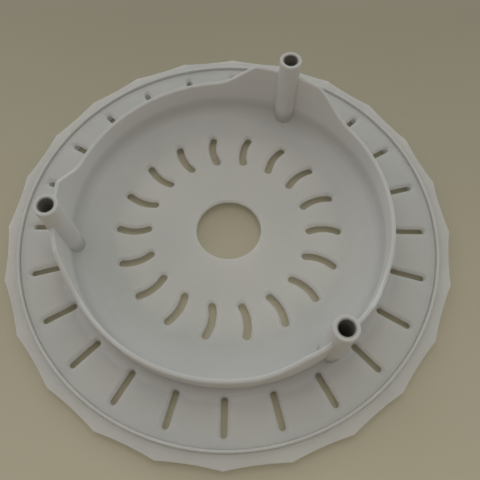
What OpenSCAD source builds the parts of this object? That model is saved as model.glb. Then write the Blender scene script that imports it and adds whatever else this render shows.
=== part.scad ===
// Air diffuser of a salon hood dryer, lying on its front face with its mounting side up.
// Millimetres, +Z up. The origin is on the main axis, level with the end of the skirt.

/* [Rim] */
// Radius over the points of the scalloped rim
point_r = 115.8; // [113:0.1:120]
// How far each scallop curves in from the straight line between its two points
scallop_sag = 0.7; // [0.3:0.1:1.2]
// Radius of the middle of the seal ring near the rim
seal_r = 107.8; // [107.4:0.1:109]
// Width of the seal ring
seal_w = 2.2; // [1.6:0.1:3]
// Height of the seal ring above the grille
seal_proud = 1.8; // [1.2:0.1:3]

/* [Outer slots] */
// Number of straight slots round the grille, one at each point of the rim
outer_count = 24; // [18:1:28]
// Radius of the middle of each straight slot
outer_r = 93.7; // [92.5:0.1:95]
// Length of each straight slot over its round ends
outer_l = 17.3; // [14:0.1:18]
// Width of each straight slot
outer_w = 3; // [2:0.1:4]

/* [Inner slots] */
// Number of curved slots round the bowl's floor
inner_count = 18; // [12:1:20]
// Radius of the middle of the chord of each curved slot
inner_r = 49.8; // [46:0.1:54]
// Distance from end to end of each curved slot, over its round ends
inner_l = 18.6; // [15:0.1:20]
// Width of each curved slot
inner_w = 3.8; // [2.5:0.1:4.5]
// Radius of the arc that each curved slot follows
inner_arc_r = 20; // [16:0.5:40]

/* [Bowl] */
// Outer radius of the bowl's wall
wall_r = 81.8; // [80:0.1:82]
// Thickness of the bowl's wall
wall_t = 2; // [1.6:0.1:2.6]
// Height of the wall above the floor, between the ears
wall_h = 19.6; // [15:0.1:24]
// Height of the ears above the floor
ear_h = 33.2; // [28:0.2:38]
// Angle on each side of a post over which its ear is level
ear_level = 13; // [10:0.5:16]
// Angle on each side of a post at which the ear's slope would meet the wall's top
ear_foot = 25; // [22:0.5:28]
// Radius of the fillet between the floor and the wall
floor_fillet = 7; // [3:0.5:9]
// Radius of the hole in the middle of the floor
centre_hole_r = 16.9; // [12:0.1:24]

/* [Posts] */
// Radius from the main axis to the middle of each post
post_r = 79.9; // [79.5:0.1:80.3]
// Direction of the first post
post_angle = 67.5; // [60:0.5:75]
// Outer diameter of each post
post_d = 11.1; // [10:0.1:12]
// Height of each post above the floor
post_h = 44; // [38:0.5:52]
// Diameter of the hole that holds the sleeve
sleeve_d = 8.1; // [7.6:0.1:8.6]
// Clear bore of the sleeve, and of the screw hole below it
bore_d = 7; // [6:0.1:7.2]

/* [Thickness] */
// Thickness of the grille and of the bowl's floor
plate_t = 2.5; // [2:0.1:3]
// Height of the grille above the bowl's floor
grille_step = 1; // [0.6:0.1:1.5]
// Height of the skirt that carries the grille, below the bowl's floor
skirt_h = 4.5; // [3.5:0.1:6]
// Thickness of the skirt
skirt_t = 1.8; // [1.2:0.1:2]

/* [Hidden] */
post_count = 3;
post_names = [for (k = [1 : post_count]) str("mounting_post_", k)];
sleeve_names = [for (k = [1 : post_count]) str("post_sleeve_", k)];

$fn = 96;
eps = 0.01;
fit_gap = 0.15;

floor_z = skirt_h;
floor_top = floor_z + plate_t;
grille_z = floor_z + grille_step;
grille_top = floor_top + grille_step;

// The ledge inside the grille, on which the bowl sits.
ledge_t = 2;
ledge_in_r = wall_r - 6.5;
ledge_out_r = wall_r + 2.6;
ledge_z = floor_z - ledge_t;

// The skirt stands just outside the straight slots.
skirt_r = outer_r + outer_l / 2 + 1 + skirt_t;

// The rim outside the seal: a thin brim that falls a little towards its edge.
seal_seat = 1;
rim_top_in = grille_top - 0.6;
rim_top_out = grille_top - 1;
rim_under_out = grille_z - 0.3;
rim_rib_t = 1.8;
rim_rib_inset = 2.5;
rim_rib_bite = 0.6;

// Flared mouths of the slots, and the rounded edge of the middle hole.
mouth_spread = 1.9;
mouth_depth = 2;
hole_round = 0.8;

wall_top = floor_top + wall_h;
ear_top = floor_top + ear_h;
ear_foot_radius = 17;
ear_crest_radius = 3;

// The bead at the foot of the wall, outside, which covers the joint with the grille.
foot_r = 1.2;
foot_edge = 0.3;

post_top = floor_top + post_h;
post_chamfer = 0.5;

white = [0.86, 0.86, 0.83];
seal_grey = [0.80, 0.80, 0.78];
sleeve_grey = [0.36, 0.35, 0.33];

function arc_points(centre, r, from, to, steps) =
    [for (i = [0 : steps])
        let (a = from + (to - from) * i / steps)
        centre + r * [cos(a), sin(a)]];

function mirrored(points) = [for (i = [len(points) - 1 : -1 : 0]) [-points[i][0], points[i][1]]];

// ---- Repeated shapes ----

// A bar along X with round ends.
module stadium(l, w, h) {
    end_x = (l - w) / 2;
    translate([-end_x, -w / 2, 0]) cube([2 * end_x, w, h]);
    for (side = [-1, 1])
        translate([side * end_x, 0, 0]) cylinder(d = w, h = h, $fn = 48);
}

// The flare of a straight slot's mouth: it widens by spread on each side over the height h.
module stadium_flare(l, w, spread, h) {
    end_x = (l - w) / 2;
    outline = [[-w / 2, 0], [w / 2, 0], [w / 2 + spread, h], [-w / 2 - spread, h]];
    translate([-end_x, 0, 0]) rotate([90, 0, 90]) linear_extrude(2 * end_x) polygon(outline);
    for (side = [-1, 1])
        translate([side * end_x, 0, 0]) cylinder(d1 = w, d2 = w + 2 * spread, h = h, $fn = 48);
}

// A bar that follows an arc. Its round ends are on the X axis, and it bulges towards +Y.
// It is w1 wide at the bottom and w2 at the top.
module arc_bar(l, w, arc_r, w1, w2, h) {
    half = asin((l - w) / 2 / arc_r);
    outline = [[arc_r - w1 / 2, 0], [arc_r + w1 / 2, 0], [arc_r + w2 / 2, h], [arc_r - w2 / 2, h]];
    translate([0, -arc_r * cos(half), 0]) {
        rotate([0, 0, 90 - half]) rotate_extrude(angle = 2 * half) polygon(outline);
        for (side = [-1, 1])
            rotate([0, 0, 90 + side * half]) translate([arc_r, 0, 0])
                cylinder(d1 = w1, d2 = w2, h = h, $fn = 48);
    }
}

module at_outer_slots() {
    for (k = [0 : outer_count - 1])
        rotate([0, 0, k * 360 / outer_count]) translate([outer_r, 0, 0]) children();
}

module at_inner_slots() {
    for (k = [0 : inner_count - 1])
        rotate([0, 0, k * 360 / inner_count]) translate([inner_r, 0, 0]) children();
}

module at_post(k) {
    rotate([0, 0, post_angle + k * 360 / post_count]) translate([post_r, 0, 0]) children();
}

module at_posts() {
    for (k = [0 : post_count - 1]) at_post(k) children();
}

module screw_holes() {
    at_posts() translate([0, 0, -eps]) cylinder(d = bore_d, h = grille_top + 1);
}

// ---- Front grille ----

// Everything inside the rim's outline: a disc with one hollow curve between each two points.
module scalloped_disc(z, h) {
    half_step = 180 / outer_count;
    half_chord = point_r * sin(half_step);
    curve_r = (half_chord * half_chord + scallop_sag * scallop_sag) / (2 * scallop_sag);
    curve_centre = point_r * cos(half_step) - scallop_sag + curve_r;
    difference() {
        translate([0, 0, z]) cylinder(r = point_r + 1, h = h, $fn = 192);
        for (k = [0 : outer_count - 1])
            rotate([0, 0, (2 * k + 1) * half_step]) translate([curve_centre, 0, z - 1])
                cylinder(r = curve_r, h = h + 2, $fn = 360);
    }
}

module grille_ring() {
    edge_r = point_r + 2;
    seal_in = seal_r - seal_w / 2;
    seal_out = seal_r + seal_w / 2;
    rotate_extrude($fn = 192) polygon([
        [ledge_in_r, ledge_z],
        [ledge_out_r, ledge_z],
        [ledge_out_r, grille_z],
        [skirt_r - skirt_t, grille_z],
        [skirt_r - skirt_t, 0],
        [skirt_r, 0],
        [skirt_r, grille_z],
        [seal_out, grille_z],
        [edge_r, rim_under_out],
        [edge_r, rim_top_out],
        [seal_out, rim_top_in],
        [seal_out, grille_top - seal_seat],
        [seal_in, grille_top - seal_seat],
        [seal_in, grille_top],
        [wall_r + fit_gap, grille_top],
        [wall_r + fit_gap, floor_z],
        [ledge_in_r, floor_z]]);
}

// A thin gusset that stiffens the rim: it runs from the skirt to a point of the rim.
module rim_rib() {
    start = skirt_r - skirt_t / 2;
    tip = point_r - rim_rib_inset;
    foot = skirt_h / 3;
    top = grille_z + rim_rib_bite;
    rotate([90, 0, 0]) translate([0, 0, -rim_rib_t / 2]) linear_extrude(rim_rib_t)
        polygon([[start, foot], [skirt_r, foot], [tip, rim_under_out], [tip, top], [start, top]]);
}

module front_grille() {
    color(white) difference() {
        intersection() {
            union() {
                grille_ring();
                for (k = [0 : outer_count - 1]) rotate([0, 0, k * 360 / outer_count]) rim_rib();
            }
            scalloped_disc(-1, grille_top + 2);
        }
        at_outer_slots() {
            translate([0, 0, -1]) stadium(outer_l, outer_w, grille_top + 2);
            translate([0, 0, grille_top - mouth_depth])
                stadium_flare(outer_l, outer_w, mouth_spread, mouth_depth + eps);
        }
        at_posts() translate([0, 0, floor_top]) cylinder(d = post_d + 2 * fit_gap, h = plate_t);
        screw_holes();
    }
}

// ---- Fan bowl ----

// The bowl turned in one piece. Its wall is as high as the ears all the way round.
module bowl_shell() {
    inner = wall_r - wall_t;
    rotate_extrude($fn = 192) polygon(concat(
        [[centre_hole_r, floor_z],
         [wall_r, floor_z],
         [wall_r, grille_top],
         [wall_r + foot_r, grille_top],
         [wall_r + foot_r, grille_top + foot_edge]],
        arc_points([wall_r + foot_r, grille_top + foot_edge + foot_r], foot_r, 270, 180, 4),
        [[wall_r, ear_top + 1],
         [inner, ear_top + 1]],
        arc_points([inner - floor_fillet, floor_top + floor_fillet], floor_fillet, 0, -90, 8),
        arc_points([centre_hole_r + hole_round, floor_top - hole_round], hole_round, 90, 180, 3)));
}

// Half of the ear's outline seen from the side, from its foot to the middle of its top.
function ear_half() =
    let (level_y = wall_r * sin(ear_level),
         foot_y = wall_r * sin(ear_foot),
         foot_z = wall_top - 0.2,
         slope = atan((ear_top - foot_z) / (foot_y - level_y)),
         foot_run = ear_foot_radius * tan(slope / 2),
         crest_run = ear_crest_radius * tan(slope / 2))
    concat(
        [[foot_y + foot_run, foot_z - ear_foot_radius]],
        arc_points([foot_y + foot_run, foot_z + ear_foot_radius], ear_foot_radius,
            -90, -90 - slope, 6),
        arc_points([level_y - crest_run, ear_top - ear_crest_radius], ear_crest_radius,
            90 - slope, 90, 3));

// Everything below the wall's top and below the outline of the three ears.
module wall_limits() {
    outline = concat(ear_half(), mirrored(ear_half()));
    translate([0, 0, -1]) cylinder(r = wall_r + 2 * foot_r, h = wall_top + 1, $fn = 192);
    for (k = [0 : post_count - 1])
        rotate([0, 0, post_angle + k * 360 / post_count]) translate([wall_r / 2, 0, 0])
            rotate([90, 0, 90]) linear_extrude(wall_r / 2 + 1) polygon(outline);
}

module fan_bowl() {
    mouth_w = inner_w + 2 * mouth_spread;
    color(white) difference() {
        intersection() {
            bowl_shell();
            wall_limits();
        }
        at_inner_slots() {
            translate([0, 0, -1])
                arc_bar(inner_l, inner_w, inner_arc_r, inner_w, inner_w, floor_top + 2);
            translate([0, 0, floor_top - mouth_depth])
                arc_bar(inner_l, inner_w, inner_arc_r, inner_w, mouth_w, mouth_depth + eps);
        }
        at_posts() translate([0, 0, floor_top]) cylinder(d = post_d, h = ear_top);
        screw_holes();
    }
}

// ---- Seal, posts and sleeves ----

module rim_seal() {
    round_r = seal_w / 3;
    seat_z = grille_top - seal_seat;
    top_z = grille_top + seal_proud;
    in_r = seal_r - seal_w / 2;
    out_r = seal_r + seal_w / 2;
    color(seal_grey) rotate_extrude($fn = 192) polygon(concat(
        [[in_r, seat_z], [out_r, seat_z]],
        arc_points([out_r - round_r, top_z - round_r], round_r, 0, 90, 4),
        arc_points([in_r + round_r, top_z - round_r], round_r, 90, 180, 4)));
}

module mounting_post(k) {
    outer = post_d / 2;
    hole = sleeve_d / 2;
    color(white) at_post(k) rotate_extrude() polygon([
        [hole, floor_top],
        [outer, floor_top],
        [outer, post_top - post_chamfer],
        [outer - post_chamfer, post_top],
        [hole, post_top]]);
}

module post_sleeve(k) {
    color(sleeve_grey) at_post(k) translate([0, 0, floor_top]) difference() {
        cylinder(d = sleeve_d, h = post_h);
        translate([0, 0, -1]) cylinder(d = bore_d, h = post_h + 2);
    }
}

front_grille();
fan_bowl();
rim_seal();
mounting_post(0);  // mounting_post_1
mounting_post(1);  // mounting_post_2
mounting_post(2);  // mounting_post_3
post_sleeve(0);  // post_sleeve_1
post_sleeve(1);  // post_sleeve_2
post_sleeve(2);  // post_sleeve_3
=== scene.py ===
import math

import bmesh
import bpy
from mathutils import Matrix, Vector


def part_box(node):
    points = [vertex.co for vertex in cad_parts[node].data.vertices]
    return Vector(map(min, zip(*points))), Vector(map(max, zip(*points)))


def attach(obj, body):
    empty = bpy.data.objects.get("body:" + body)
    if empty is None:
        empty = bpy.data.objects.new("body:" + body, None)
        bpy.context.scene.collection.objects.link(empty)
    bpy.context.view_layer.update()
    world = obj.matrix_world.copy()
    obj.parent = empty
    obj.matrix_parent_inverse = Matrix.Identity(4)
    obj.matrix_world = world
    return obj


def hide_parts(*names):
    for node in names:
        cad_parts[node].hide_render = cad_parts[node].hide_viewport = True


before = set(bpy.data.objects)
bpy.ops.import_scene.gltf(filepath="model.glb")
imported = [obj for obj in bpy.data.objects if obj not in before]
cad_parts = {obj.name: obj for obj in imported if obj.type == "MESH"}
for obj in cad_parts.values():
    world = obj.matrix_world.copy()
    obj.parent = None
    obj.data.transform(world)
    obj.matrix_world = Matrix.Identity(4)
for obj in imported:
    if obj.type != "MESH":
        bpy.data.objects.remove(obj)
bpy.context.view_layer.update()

# Air diffuser of a salon hood dryer, lying on its front face with its mounting side up.
# Lengths below are in millimetres and become metres when a mesh is made.

MM = 0.001


def corners(node):
    """A CAD node's lowest and highest corner, in millimetres."""
    low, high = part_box(node)
    return [c / MM for c in low], [c / MM for c in high]


# ---- Sizes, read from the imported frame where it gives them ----

grille_low, grille_high = corners("front_grille")
bowl_low, bowl_high = corners("fan_bowl")
seal_low, seal_high = corners("rim_seal")
POSTS = ["mounting_post_1", "mounting_post_2", "mounting_post_3"]
SLEEVES = ["post_sleeve_1", "post_sleeve_2", "post_sleeve_3"]

point_r = grille_high[0]
grille_top = grille_high[2]
foot_r = 1.2
wall_r = bowl_high[0] - foot_r
ear_top = bowl_high[2]
seal_out = seal_high[0]
seal_top = seal_high[2]
post_low, post_high = corners(POSTS[0])
post_top = post_high[2]
floor_top = post_low[2]

plate_t = 2.5
floor_z = floor_top - plate_t
grille_z = grille_top - plate_t
seal_in = seal_out - 2.2
seal_seat = 1.0

OUTER_SLOTS = 24
OUTER_R, OUTER_L, OUTER_W = 93.7, 17.3, 3.0
INNER_SLOTS = 18
INNER_R, INNER_L, INNER_W, INNER_ARC = 49.8, 18.6, 3.8, 20.0
MOUTH_SPREAD, MOUTH_DEPTH = 1.9, 2.25

wall_t = 2.0
wall_top = floor_top + 19.6
# An ear is level, and meets the wall's top, at these angles from the middle of its post.
EAR_LEVEL, EAR_FOOT = 13.0, 25.0
floor_fillet = 7.0
centre_hole_r = 16.9
post_d = post_high[0] - post_low[0]
sleeve_low, sleeve_high = corners(SLEEVES[0])
sleeve_d = sleeve_high[0] - sleeve_low[0]
bore_d = 7.0
scallop_sag = 0.7

ledge_in, ledge_out, ledge_z = wall_r - 6.5, wall_r + 2.6, grille_low[2] + 2.5
skirt_in = OUTER_R + OUTER_L / 2 + 1
skirt_out = skirt_in + 1.8


def middle(node):
    """The middle of a CAD node, seen from above."""
    low, high = corners(node)
    return (low[0] + high[0]) / 2, (low[1] + high[1]) / 2


POST_ANGLES = [math.degrees(math.atan2(*reversed(middle(node)))) % 360 for node in POSTS]


# ---- Mesh helpers ----

class Shape:
    """Vertices and faces under construction, made of closed loops that are bridged in order."""

    def __init__(self):
        self.verts, self.faces = [], []

    def bridge(self, loops, closed=False):
        n = len(loops[0])
        starts = []
        for loop in loops:
            starts.append(len(self.verts))
            self.verts += loop
        pairs = list(zip(starts, starts[1:]))
        if closed:
            pairs.append((starts[-1], starts[0]))
        for a, b in pairs:
            for i in range(n):
                j = (i + 1) % n
                self.faces.append((a + i, a + j, b + j, b + i))

    def prism(self, one, other):
        """A solid between two equal outlines, with both ends closed."""
        a, n = len(self.verts), len(one)
        self.bridge([one, other])
        self.faces += [tuple(range(a, a + n)), tuple(range(a + n, a + 2 * n))]

    def make(self, name, sharp=32):
        mesh = bpy.data.meshes.new(name)
        mesh.from_pydata([(x * MM, y * MM, z * MM) for x, y, z in self.verts], [], self.faces)
        bm = bmesh.new()
        bm.from_mesh(mesh)
        bmesh.ops.remove_doubles(bm, verts=bm.verts, dist=2e-6)
        bmesh.ops.recalc_face_normals(bm, faces=bm.faces)
        bm.to_mesh(mesh)
        bm.free()
        finish_shading(mesh, sharp)
        obj = bpy.data.objects.new(name, mesh)
        bpy.context.scene.collection.objects.link(obj)
        return obj


def finish_shading(mesh, sharp):
    mesh.shade_smooth()
    mesh.set_sharp_from_angle(angle=math.radians(sharp))


def turn(x, y, angle):
    c, s = math.cos(math.radians(angle)), math.sin(math.radians(angle))
    return x * c - y * s, x * s + y * c


def polar(r, angle, z):
    a = math.radians(angle)
    return (r * math.cos(a), r * math.sin(a), z)


def arc(cx, cz, r, start, end, steps):
    """Points of an arc in the radius-height plane, angles in degrees."""
    out = []
    for i in range(steps + 1):
        a = math.radians(start + (end - start) * i / steps)
        out.append((cx + r * math.cos(a), cz + r * math.sin(a)))
    return out


def lathe(shape, profile, steps, centre=(0.0, 0.0)):
    """Turn a closed profile of (radius, height) points about a vertical axis."""
    loops = []
    for r, z in profile:
        loop = []
        for i in range(steps):
            x, y, _ = polar(r, 360.0 * i / steps, 0)
            loop.append((centre[0] + x, centre[1] + y, z))
        loops.append(loop)
    shape.bridge(loops, closed=True)


def cut(obj, cutter, sharp=32):
    """Take the cutter's volume out of the object, for good."""
    mod = obj.modifiers.new("cut", "BOOLEAN")
    mod.operation = "DIFFERENCE"
    mod.solver = "EXACT"
    mod.object = cutter
    graph = bpy.context.evaluated_depsgraph_get()
    mesh = bpy.data.meshes.new_from_object(obj.evaluated_get(graph))
    obj.modifiers.clear()
    old = obj.data
    obj.data = mesh
    mesh.name = old.name
    bpy.data.meshes.remove(old)
    finish_shading(mesh, sharp)


def join(objs, name):
    """One object from several; the meshes lie in the same frame already."""
    bm = bmesh.new()
    for obj in objs:
        bm.from_mesh(obj.data)
    mesh = bpy.data.meshes.new(name)
    bm.to_mesh(mesh)
    bm.free()
    finish_shading(mesh, 32)
    for obj in objs:
        bpy.data.objects.remove(obj)
    out = bpy.data.objects.new(name, mesh)
    bpy.context.scene.collection.objects.link(out)
    return out


# ---- A sector of plate with one slot in it ----

def straight_core(length, width, n_out, n_side, n_in):
    """Centre line points and outward normals round a straight slot, from its outer end."""
    a = (length - width) / 2
    core = []
    for i in range(n_out):
        t = math.radians(-90 + 180 * i / n_out)
        core.append((a, 0, math.cos(t), math.sin(t)))
    for i in range(n_side):
        core.append((a - 2 * a * i / n_side, 0, 0, 1))
    for i in range(n_in):
        t = math.radians(90 + 180 * i / n_in)
        core.append((-a, 0, math.cos(t), math.sin(t)))
    for i in range(n_side):
        core.append((-a + 2 * a * i / n_side, 0, 0, -1))
    return core


def curved_core(length, width, radius, n_out, n_side, n_in):
    """The same round a slot that follows an arc, which bulges to the left of the outward way."""
    half = math.degrees(math.asin((length - width) / 2 / radius))
    drop = -radius * math.cos(math.radians(half))
    first, last = 90 - half, 90 + half
    core = []

    def at(on, normal):
        a, b = math.radians(on), math.radians(normal)
        core.append((radius * math.cos(a), drop + radius * math.sin(a), math.cos(b), math.sin(b)))

    for i in range(n_out):
        at(first, first - 180 + 180 * i / n_out)
    for i in range(n_side):
        on = first + (last - first) * i / n_side
        at(on, on)
    for i in range(n_in):
        at(last, last + 180 * i / n_in)
    for i in range(n_side):
        on = last + (first - last) * i / n_side
        at(on, on + 180)
    return core


def sector_edge(half, r_in, r_out, n_out, n_side, n_in):
    """The sector's outline, with a point for each point of the core."""
    out = [polar(r_out, -half + 2 * half * i / n_out, 0)[:2] for i in range(n_out)]
    out += [polar(r_out + (r_in - r_out) * i / n_side, half, 0)[:2] for i in range(n_side)]
    out += [polar(r_in, half - 2 * half * i / n_in, 0)[:2] for i in range(n_in)]
    out += [polar(r_in + (r_out - r_in) * i / n_side, -half, 0)[:2] for i in range(n_side)]
    return out


def slotted_plate(shape, count, core, slot_r, width, edge, top, under):
    """Both faces of a plate with a slot in each sector. Each slot has a flared, rounded mouth."""
    profile = [(MOUTH_SPREAD + 0.5, top)]
    for i in range(9):
        t = math.radians(90 * i / 8)
        profile.append((MOUTH_SPREAD * (1 - math.sin(t)), top - MOUTH_DEPTH * (1 - math.cos(t))))
    profile += [(0, under + 0.2), (0.06, under + 0.06), (0.2, under), (0.8, under)]

    def near(offset):
        return [(slot_r + cx + nx * (width / 2 + offset), cy + ny * (width / 2 + offset))
                for cx, cy, nx, ny in core]

    def mix(a, b, t):
        return [(p[0] + (q[0] - p[0]) * t, p[1] + (q[1] - p[1]) * t) for p, q in zip(a, b)]

    flat = [(mix(edge, near(profile[0][0]), t), top) for t in (0, 0.3, 0.6, 0.85)]
    flat += [(near(d), z) for d, z in profile]
    flat += [(mix(near(profile[-1][0]), edge, t), under) for t in (0.4, 1)]
    for k in range(count):
        angle = 360.0 * k / count
        loops = []
        for points, z in flat:
            loop = []
            for x, y in points:
                u, v = turn(x, y, angle)
                loop.append((u, v, z))
            loops.append(loop)
        shape.bridge(loops)


# ---- Front grille ----

def rim_radius(angle):
    """The scalloped rim: a point at each slot, and a hollow curve between points."""
    step = 360.0 / OUTER_SLOTS
    half = math.radians(step / 2)
    chord = point_r * math.sin(half)
    curve_r = (chord * chord + scallop_sag * scallop_sag) / (2 * scallop_sag)
    centre = point_r * math.cos(half) - scallop_sag + curve_r
    off = math.radians(angle % step - step / 2)
    return centre * math.cos(off) - math.sqrt(curve_r ** 2 - (centre * math.sin(off)) ** 2)


def build_grille():
    n_out, n_side, n_in = 40, 14, 16
    half = 180.0 / OUTER_SLOTS
    r_in = wall_r + 0.15
    shape = Shape()
    core = straight_core(OUTER_L, OUTER_W, n_out, n_side, n_in)
    edge = sector_edge(half, r_in, seal_in, n_out, n_side, n_in)
    slotted_plate(shape, OUTER_SLOTS, core, OUTER_R, OUTER_W, edge, grille_top, grille_z)

    # The seal's groove, the brim and its rounded edge.
    top_in, top_out, under_out = grille_top - 0.6, grille_top - 1.0, grille_z - 0.3
    round_r = 0.6
    path = [(seal_in, None, grille_top), (seal_in, None, grille_top - seal_seat),
            (seal_out, None, grille_top - seal_seat), (seal_out, None, top_in - 0.3),
            (seal_out + 0.1, None, top_in - 0.08), (seal_out + 0.35, None, top_in)]
    path += [(None, -3.2, top_in * 0.5 + top_out * 0.5), (None, -round_r - 0.3, top_out + 0.02)]
    for i in range(7):
        a = math.radians(90 - 15 * i)
        path.append((None, -round_r + round_r * math.cos(a), top_out - round_r + round_r * math.sin(a)))
    for i in range(7):
        a = math.radians(-15 * i)
        path.append((None, -round_r + round_r * math.cos(a), under_out + round_r + round_r * math.sin(a)))
    path += [(seal_out, None, grille_z), (seal_in, None, grille_z)]
    angles = [-half + 2 * half * i / n_out for i in range(OUTER_SLOTS * n_out)]
    radii = [rim_radius(a) for a in angles]
    loops = []
    for fixed, inset, z in path:
        loops.append([polar(fixed if inset is None else edge_r + inset, a, z)
                      for a, edge_r in zip(angles, radii)])
    shape.bridge(loops)

    # The inner edge against the bowl's wall.
    around = OUTER_SLOTS * n_in
    inner = [-half + 2 * half * i / n_in for i in range(around)]
    shape.bridge([[polar(r_in, a, z) for a in inner] for z in (grille_top, grille_z)])
    plate = shape.make("grille_plate")

    ledge = Shape()
    joint = grille_z + 0.3
    lathe(ledge, [(ledge_in, ledge_z), (ledge_out, ledge_z), (ledge_out, joint), (r_in + 0.01, joint),
                  (r_in + 0.01, floor_z), (ledge_in, floor_z)], 384)
    ledge = ledge.make("grille_ledge")

    # The skirt under the plate, and a thin gusset from it to each point of the rim.
    skirt = Shape()
    r = 0.4
    profile = [(skirt_in, joint)] + arc(skirt_in + r, r, r, 180, 270, 4) + arc(skirt_out - r, r, r, 270, 360, 4)
    lathe(skirt, profile + [(skirt_out, joint)], 384)
    foot, tip, t = floor_z / 3, point_r - 2.5, 0.9
    for k in range(OUTER_SLOTS):
        ring = []
        for r, z in ((skirt_out - 0.9, foot), (skirt_out, foot), (tip, under_out), (tip, joint),
                     (skirt_out - 0.9, joint)):
            ring.append((r, z))
        loops = []
        for side in (-t, t):
            loops.append([(*turn(r, side, 360.0 * k / OUTER_SLOTS), z) for r, z in ring])
        skirt.prism(*loops)
    skirt = skirt.make("grille_skirt")
    return plate, ledge, skirt


# ---- Fan bowl ----

def ear_height(angle):
    """Height of the wall's top at an angle in degrees: three ears that rise round the posts."""
    off = min(abs((angle - p + 180) % 360 - 180) for p in POST_ANGLES)
    y = wall_r * math.sin(math.radians(off)) if off < 90 else wall_r
    level_y = wall_r * math.sin(math.radians(EAR_LEVEL))
    foot_y = wall_r * math.sin(math.radians(EAR_FOOT))
    foot_z = wall_top - 0.2
    slope = math.atan2(ear_top - foot_z, foot_y - level_y)
    crest_r, hollow_r = 3.0, 17.0
    crest_y = level_y - crest_r * math.tan(slope / 2)
    hollow_y = foot_y + hollow_r * math.tan(slope / 2)
    if y <= crest_y:
        z = ear_top
    elif y <= crest_y + crest_r * math.sin(slope):
        z = ear_top - crest_r + math.sqrt(crest_r ** 2 - (y - crest_y) ** 2)
    elif y <= hollow_y - hollow_r * math.sin(slope):
        z = ear_top - (y - level_y) * math.tan(slope)
    elif y <= hollow_y:
        z = foot_z + hollow_r - math.sqrt(hollow_r ** 2 - (hollow_y - y) ** 2)
    else:
        z = foot_z
    return max(z, wall_top)


def build_bowl():
    n_out, n_side, n_in = 40, 18, 10
    half = 180.0 / INNER_SLOTS
    r_in, r_out = 36.0, 64.0
    shape = Shape()
    core = curved_core(INNER_L, INNER_W, INNER_ARC, n_out, n_side, n_in)
    edge = sector_edge(half, r_in, r_out, n_out, n_side, n_in)
    slotted_plate(shape, INNER_SLOTS, core, INNER_R, INNER_W, edge, floor_top, floor_z)

    # Fillet, wall with its ears, and the outside of the wall.
    inner = wall_r - wall_t
    angles = [-half + 2 * half * i / n_out for i in range(INNER_SLOTS * n_out)]
    tops = [ear_height(a) for a in angles]
    low = [(r_out, floor_top), (r_out + 4, floor_top)]
    low += arc(inner - floor_fillet, floor_top + floor_fillet, floor_fillet, -90, 0, 12)
    loops = [[polar(r, a, z) for a in angles] for r, z in low]
    foot = floor_top + floor_fillet
    round_r = 0.85
    for t in (0.25, 0.5, 0.75):
        loops.append([polar(inner, a, foot + (h - round_r - 0.4 - foot) * t) for a, h in zip(angles, tops)])
    loops.append([polar(inner, a, h - round_r - 0.4) for a, h in zip(angles, tops)])
    for i in range(7):
        t = math.radians(180 - 15 * i)
        r, dz = inner + round_r + round_r * math.cos(t), round_r * math.sin(t) - round_r
        loops.append([polar(r, a, h + dz) for a, h in zip(angles, tops)])
    for i in range(7):
        t = math.radians(90 - 15 * i)
        r, dz = wall_r - round_r + round_r * math.cos(t), round_r * math.sin(t) - round_r
        loops.append([polar(r, a, h + dz) for a, h in zip(angles, tops)])
    loops.append([polar(wall_r, a, h - round_r - 0.4) for a, h in zip(angles, tops)])
    bead = arc(wall_r + foot_r, grille_top + 0.3 + foot_r, foot_r, 180, 270, 6)
    bead += [(wall_r + foot_r, grille_top), (wall_r, grille_top), (wall_r, floor_z + 0.3)]
    for t in (0.75, 0.5, 0.25):
        loops.append([polar(wall_r, a, bead[0][1] + (h - bead[0][1]) * t) for a, h in zip(angles, tops)])
    loops += [[polar(r, a, z) for a in angles] for r, z in bead]
    loops.append([polar(wall_r - 0.3, a, floor_z) for a in angles])
    loops.append([polar(r_out, a, floor_z) for a in angles])
    shape.bridge(loops)

    # The hole in the middle, with a rounded edge.
    round_r = 0.8
    rim = [(r_in - 6 * i, floor_top) for i in range(3)]
    rim.append((centre_hole_r + round_r + 0.4, floor_top))
    rim += arc(centre_hole_r + round_r, floor_top - round_r, round_r, 90, 180, 6)
    rim += [(centre_hole_r, floor_z + 0.2), (centre_hole_r + 0.2, floor_z), (r_in, floor_z)]
    angles = [-half + 2 * half * i / n_in for i in range(INNER_SLOTS * n_in)]
    shape.bridge([[polar(r, a, z) for a in angles] for r, z in rim])
    return shape.make("bowl_shell")


def post_cutters(diameter, bottom):
    """Three cutters for the posts' places, each with a screw hole below it."""
    cutters = Shape()
    for node in POSTS:
        x, y = middle(node)
        big, small = diameter / 2, bore_d / 2
        loops = []
        for r, z in ((small, -1.0), (small, bottom), (big, bottom), (big, 60.0)):
            loops.append([(x + p[0], y + p[1], z) for p in (polar(r, 7.5 * i, 0) for i in range(48))])
        cutters.bridge(loops)
        start = len(cutters.verts) - 4 * 48
        cutters.faces.append(tuple(reversed(range(start, start + 48))))
        cutters.faces.append(tuple(range(start + 3 * 48, start + 4 * 48)))
    return cutters.make("post_cutters")


# ---- Seal, posts and sleeves ----

def build_seal():
    base = grille_top - seal_seat
    gap, r = 0.25, 0.75
    profile = [(seal_in + gap, base), (seal_out - gap, base)]
    profile += arc(seal_out - gap - r, seal_top - r, r, 0, 90, 8)
    profile += arc(seal_in + gap + r, seal_top - r, r, 90, 180, 8)
    shape = Shape()
    lathe(shape, profile, 480)
    return shape.make("seal_ring")


def build_post(name, centre):
    outer, hole, r = post_d / 2, sleeve_d / 2, 0.45
    profile = [(hole, floor_top), (outer, floor_top), (outer, floor_top + 15), (outer, post_top - r - 0.5)]
    profile += arc(outer - r, post_top - r, r, 0, 90, 6)
    profile += arc(hole + 0.2, post_top - 0.2, 0.2, 90, 180, 3)
    shape = Shape()
    lathe(shape, profile, 96, centre)
    return shape.make(name)


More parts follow.
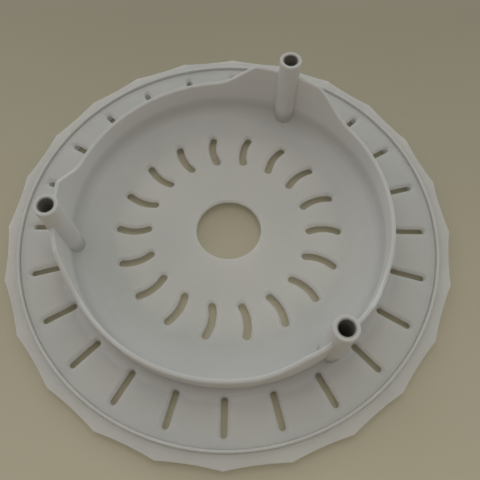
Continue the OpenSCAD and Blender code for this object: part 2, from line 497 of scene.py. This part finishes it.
def build_sleeve(name, centre):
    outer, bore, c = sleeve_d / 2, bore_d / 2, 0.15
    profile = [(bore, floor_top + 0.01), (outer - 0.01, floor_top + 0.01), (outer - 0.01, post_top - 0.3 - c),
               (outer - 0.01 - c, post_top - 0.3), (bore + c, post_top - 0.3), (bore, post_top - 0.3 - c)]
    shape = Shape()
    lathe(shape, profile, 96, centre)
    return shape.make(name)


# ---- Materials ----

# The share of light that passes through each face: of a free plate, and of a plate on the ledge,
# a wall or a post, where there is more plastic behind the face.
PLATE_GLOW, WALL_GLOW = 0.64, 0.16


def new_material(name):
    mat = bpy.data.materials.new(name)
    mat.use_nodes = True
    tree = mat.node_tree
    tree.nodes.clear()
    out = tree.nodes.new("ShaderNodeOutputMaterial")
    shader = tree.nodes.new("ShaderNodeBsdfPrincipled")
    tree.links.new(shader.outputs["BSDF"], out.inputs["Surface"])
    coord = tree.nodes.new("ShaderNodeTexCoord").outputs["Object"]
    return mat, tree, shader, coord


def noise(tree, coord, scale, detail=3.0, roughness=0.5):
    node = tree.nodes.new("ShaderNodeTexNoise")
    node.inputs["Scale"].default_value = scale
    node.inputs["Detail"].default_value = detail
    node.inputs["Roughness"].default_value = roughness
    tree.links.new(coord, node.inputs["Vector"])
    return node.outputs["Fac"]


def ramp(tree, value, low, high, a, b):
    """The value mapped from low..high to a..b, clamped."""
    node = tree.nodes.new("ShaderNodeMapRange")
    node.inputs["From Min"].default_value = low
    node.inputs["From Max"].default_value = high
    node.inputs["To Min"].default_value = a
    node.inputs["To Max"].default_value = b
    tree.links.new(value, node.inputs["Value"])
    return node.outputs["Result"]


def math_node(tree, operation, *values):
    """A value worked out from numbers and other nodes' outputs."""
    node = tree.nodes.new("ShaderNodeMath")
    node.operation = operation
    for socket, value in zip(node.inputs, values):
        if isinstance(value, (int, float)):
            socket.default_value = value
        else:
            tree.links.new(value, socket)
    return node.outputs["Value"]


def mix_colour(tree, factor, a, b):
    """A colour between a and b; each is a colour or another node's output."""
    node = tree.nodes.new("ShaderNodeMix")
    node.data_type = "RGBA"
    tree.links.new(factor, node.inputs["Factor"])
    for socket, value in (("A", a), ("B", b)):
        socket = [s for s in node.inputs if s.name == socket and s.type == "RGBA"][0]
        if isinstance(value, tuple):
            socket.default_value = (*value, 1)
        else:
            tree.links.new(value, socket)
    return [s for s in node.outputs if s.type == "RGBA"][0]


def bump(tree, shader, height, strength, distance):
    node = tree.nodes.new("ShaderNodeBump")
    node.inputs["Strength"].default_value = strength
    node.inputs["Distance"].default_value = distance
    tree.links.new(height, node.inputs["Height"])
    tree.links.new(node.outputs["Normal"], shader.inputs["Normal"])


def moulded_plastic():
    """Off-white moulded plastic: a faint mottle, a little dust, painted shade that darkens the tops
    of the walls and posts where they face up and the fillet round their foot, and a fine satin texture."""
    mat, tree, shader, coord = new_material("white_moulding")
    place = tree.nodes.new("ShaderNodeSeparateXYZ")
    tree.links.new(coord, place.inputs["Vector"])
    tall = ramp(tree, place.outputs["Z"], (floor_top + 1.2) * MM, (floor_top + 4) * MM, 0, 1)
    flat = tree.nodes.new("ShaderNodeVectorMath")
    flat.operation = "MULTIPLY"
    flat.inputs[1].default_value = (1, 1, 0)
    tree.links.new(coord, flat.inputs[0])
    radius = tree.nodes.new("ShaderNodeVectorMath")
    radius.operation = "LENGTH"
    tree.links.new(flat.outputs["Vector"], radius.inputs[0])
    inside = ramp(tree, radius.outputs["Value"], (ledge_in - 14) * MM, (ledge_in + 2) * MM, 0, 1)
    outside = ramp(tree, radius.outputs["Value"], ledge_out * MM, (ledge_out + 4) * MM, 1, 0)
    thick_and_shaded_foot = math_node(tree, "MAXIMUM", tall, math_node(tree, "MINIMUM", inside, outside))
    broad = ramp(tree, noise(tree, coord, 22, 4, 0.55), 0.3, 0.7, 0, 1)
    plates = mix_colour(tree, broad, (0.91, 0.92, 0.92), (0.96, 0.96, 0.95))
    # Painted shade: the fillet and the plate round the foot of the walls and posts get a darker colour than the
    # walls, partly to make up for the less translucent plastic there and beyond that for the shade in the
    # crease at their foot.
    foot = mix_colour(tree, broad, (0.65, 0.65, 0.64), (0.69, 0.69, 0.675))
    walls = mix_colour(tree, broad, (0.85, 0.85, 0.845), (0.89, 0.89, 0.88))
    # Painted shade: the tops of the walls and posts that face up get a darker colour, to dim the light that
    # falls on them.
    tops = mix_colour(tree, broad, (0.65, 0.655, 0.65), (0.69, 0.69, 0.68))
    normal_for_painted_shade = tree.nodes.new("ShaderNodeSeparateXYZ")
    tree.links.new(tree.nodes.new("ShaderNodeNewGeometry").outputs["Normal"], normal_for_painted_shade.inputs["Vector"])
    walls = mix_colour(tree, ramp(tree, normal_for_painted_shade.outputs["Z"], 0.5, 0.95, 0, 1), walls, tops)
    high = ramp(tree, place.outputs["Z"], (floor_top + 4) * MM, (floor_top + 10) * MM, 0, 1)
    colour = mix_colour(tree, high, mix_colour(tree, thick_and_shaded_foot, plates, foot), walls)
    dust = ramp(tree, noise(tree, coord, 900, 2, 0.6), 0.66, 0.80, 0, 0.5)
    colour = mix_colour(tree, dust, colour, (0.66, 0.64, 0.58))
    tree.links.new(colour, shader.inputs["Base Color"])
    tree.links.new(ramp(tree, noise(tree, coord, 90, 5, 0.6), 0.3, 0.7, 0.44, 0.56), shader.inputs["Roughness"])
    shader.inputs["Specular IOR Level"].default_value = 0.3
    bump(tree, shader, noise(tree, coord, 1400, 3, 0.6), 0.12, 0.0002)
    translucent = tree.nodes.new("ShaderNodeBsdfTranslucent")
    tree.links.new(colour, translucent.inputs["Color"])
    blend = tree.nodes.new("ShaderNodeMixShader")
    glow = ramp(tree, thick_and_shaded_foot, 0, 1, PLATE_GLOW, WALL_GLOW)
    tree.links.new(glow, blend.inputs["Fac"])
    tree.links.new(shader.outputs["BSDF"], blend.inputs[1])
    tree.links.new(translucent.outputs["BSDF"], blend.inputs[2])
    tree.links.new(blend.outputs["Shader"], tree.nodes["Material Output"].inputs["Surface"])
    return mat


def seal_rubber():
    mat, tree, shader, coord = new_material("rim_seal")
    mottle = ramp(tree, noise(tree, coord, 140, 5, 0.6), 0.3, 0.7, 0, 1)
    colour = mix_colour(tree, mottle, (0.56, 0.56, 0.55), (0.62, 0.61, 0.59))
    tree.links.new(colour, shader.inputs["Base Color"])
    tree.links.new(ramp(tree, noise(tree, coord, 400, 3), 0.3, 0.7, 0.5, 0.62), shader.inputs["Roughness"])
    bump(tree, shader, noise(tree, coord, 1800, 3, 0.6), 0.15, 0.0002)
    return mat


def dark_steel():
    mat, tree, shader, coord = new_material("sleeve_steel")
    stain = ramp(tree, noise(tree, coord, 500, 5, 0.65), 0.35, 0.7, 0, 1)
    colour = mix_colour(tree, stain, (0.32, 0.315, 0.29), (0.42, 0.415, 0.38))
    tree.links.new(colour, shader.inputs["Base Color"])
    shader.inputs["Metallic"].default_value = 0.2
    tree.links.new(ramp(tree, noise(tree, coord, 1500, 3), 0.3, 0.7, 0.38, 0.62), shader.inputs["Roughness"])
    bump(tree, shader, noise(tree, coord, 2500, 3), 0.2, 0.0001)
    return mat


def floor_material():
    """Plain matt floor with a faint random change of tone, and painted shade that makes it darker towards the
    back, away from the camera.
    """
    mat, tree, shader, coord = new_material("floor")
    place = tree.nodes.new("ShaderNodeSeparateXYZ")
    tree.links.new(coord, place.inputs["Vector"])
    # Painted shade: the floor's colour darkens along Y, from the side nearest the camera to the other.
    painted_shade_ramp = ramp(tree, place.outputs["Y"], -0.16, 0.16, 0, 1)
    tone = ramp(tree, noise(tree, coord, 3, 3), 0.3, 0.7, 0, 1)
    near = mix_colour(tree, tone, (0.56, 0.515, 0.385), (0.60, 0.55, 0.415))
    painted_shade_colour = mix_colour(tree, tone, (0.37, 0.34, 0.255), (0.40, 0.365, 0.275))
    tree.links.new(mix_colour(tree, painted_shade_ramp, near, painted_shade_colour), shader.inputs["Base Color"])
    shader.inputs["Roughness"].default_value = 0.6
    shader.inputs["Specular IOR Level"].default_value = 0.2
    return mat


# ---- Camera ----

def build_camera():
    data = bpy.data.cameras.new("camera")
    data.sensor_width = 36
    data.lens = 500.155 / 480 * 36
    cam = bpy.data.objects.new("camera", data)
    bpy.context.scene.collection.objects.link(cam)
    unit, height = 0.115, 0.0067
    tilt, spin = math.radians(65.7954), math.radians(0.4558)
    back = Vector((0, -math.cos(tilt), math.sin(tilt)))
    aim = Vector((0.0519 * unit, -0.0545 * unit, height))
    right = Vector((1, 0, 0))
    up = back.cross(right)
    x = right * math.cos(spin) + up * math.sin(spin)
    y = up * math.cos(spin) - right * math.sin(spin)
    place = aim + back * 2.2626 * unit
    pose = Matrix([(x[i], y[i], back[i], place[i]) for i in range(3)] + [(0, 0, 0, 1)])
    cam.matrix_world = Matrix.Rotation(math.radians(0.3), 4, "Z") @ pose
    bpy.context.scene.camera = cam


# ---- Light and floor ----

def area_light(name, place, aim, size, watts, colour):
    data = bpy.data.lights.new(name, "AREA")
    data.shape = "DISK"
    data.size = size
    data.energy = watts
    data.color = colour
    obj = bpy.data.objects.new(name, data)
    obj.location = place
    obj.rotation_euler = (Vector(place) - Vector(aim)).to_track_quat("Z", "Y").to_euler()
    bpy.context.scene.collection.objects.link(obj)


# Name, place, diameter, power and colour of each soft light. All look at the part's middle.
LIGHTS = [
    ("window", (-0.85, 0.75, 0.75), 0.8, 0.82, (0.98, 0.82, 1.0)),
    ("top", (0.0, 0.1, 1.5), 1.0, 3.58, (1.0, 0.97, 0.92)),
]
# The room's even light, and the light added on its far side, which fades to none on the near one.
EVEN_LIGHT = (0.203, 0.154, 0.113)
FAR_LIGHT = (0.418, 0.517, 0.550)


def build_studio():
    for name, place, size, watts, colour in LIGHTS:
        area_light(name, place, (0, 0, 0.01), size, watts, colour)
    world = bpy.data.worlds.new("studio")
    world.use_nodes = True
    tree = world.node_tree
    background = tree.nodes["Background"]
    way = tree.nodes.new("ShaderNodeTexCoord").outputs["Generated"]
    side = tree.nodes.new("ShaderNodeSeparateXYZ")
    tree.links.new(way, side.inputs["Vector"])
    share = ramp(tree, side.outputs["Y"], -1, 1, 0, 1)
    added = tree.nodes.new("ShaderNodeVectorMath")
    added.operation = "SCALE"
    added.inputs[0].default_value = FAR_LIGHT
    tree.links.new(share, added.inputs["Scale"])
    total = tree.nodes.new("ShaderNodeVectorMath")
    total.operation = "ADD"
    total.inputs[0].default_value = EVEN_LIGHT
    tree.links.new(added.outputs["Vector"], total.inputs[1])
    tree.links.new(total.outputs["Vector"], background.inputs["Color"])
    bpy.context.scene.world = world
    bpy.context.scene.view_settings.view_transform = "Standard"

    size = 3.0
    mesh = bpy.data.meshes.new("floor")
    mesh.from_pydata([(-size, -size, 0), (size, -size, 0), (size, size, 0), (-size, size, 0)], [],
                     [(0, 1, 2, 3)])
    floor = bpy.data.objects.new("floor", mesh)
    floor.data.materials.append(floor_material())
    bpy.context.scene.collection.objects.link(floor)


# ---- Put together ----

def place(obj, material, slot, node):
    obj.data.materials.clear()
    obj.data.materials.append(material)
    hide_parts(node)
    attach(obj, "root")


def main():
    build_camera()
    plastic, rubber, steel = moulded_plastic(), seal_rubber(), dark_steel()

    seats = post_cutters(post_d + 0.3, floor_top)
    plate, ledge, skirt = build_grille()
    cut(plate, seats)
    cut(ledge, seats)
    place(join([plate, ledge, skirt], "grille_moulding"), plastic, "white_moulding", "front_grille")
    bpy.data.objects.remove(seats)

    seats = post_cutters(post_d - 0.4, floor_top)
    bowl = build_bowl()
    cut(bowl, seats)
    place(join([bowl], "bowl_moulding"), plastic, "white_moulding", "fan_bowl")
    bpy.data.objects.remove(seats)

    place(build_seal(), rubber, "rim_seal", "rim_seal")
    for k, node in enumerate(POSTS):
        place(build_post(f"post_tube_{k + 1}", middle(node)), plastic, "white_moulding", node)
        place(build_sleeve(f"steel_sleeve_{k + 1}", middle(node)), steel, "sleeve_steel", SLEEVES[k])
    build_studio()


main()
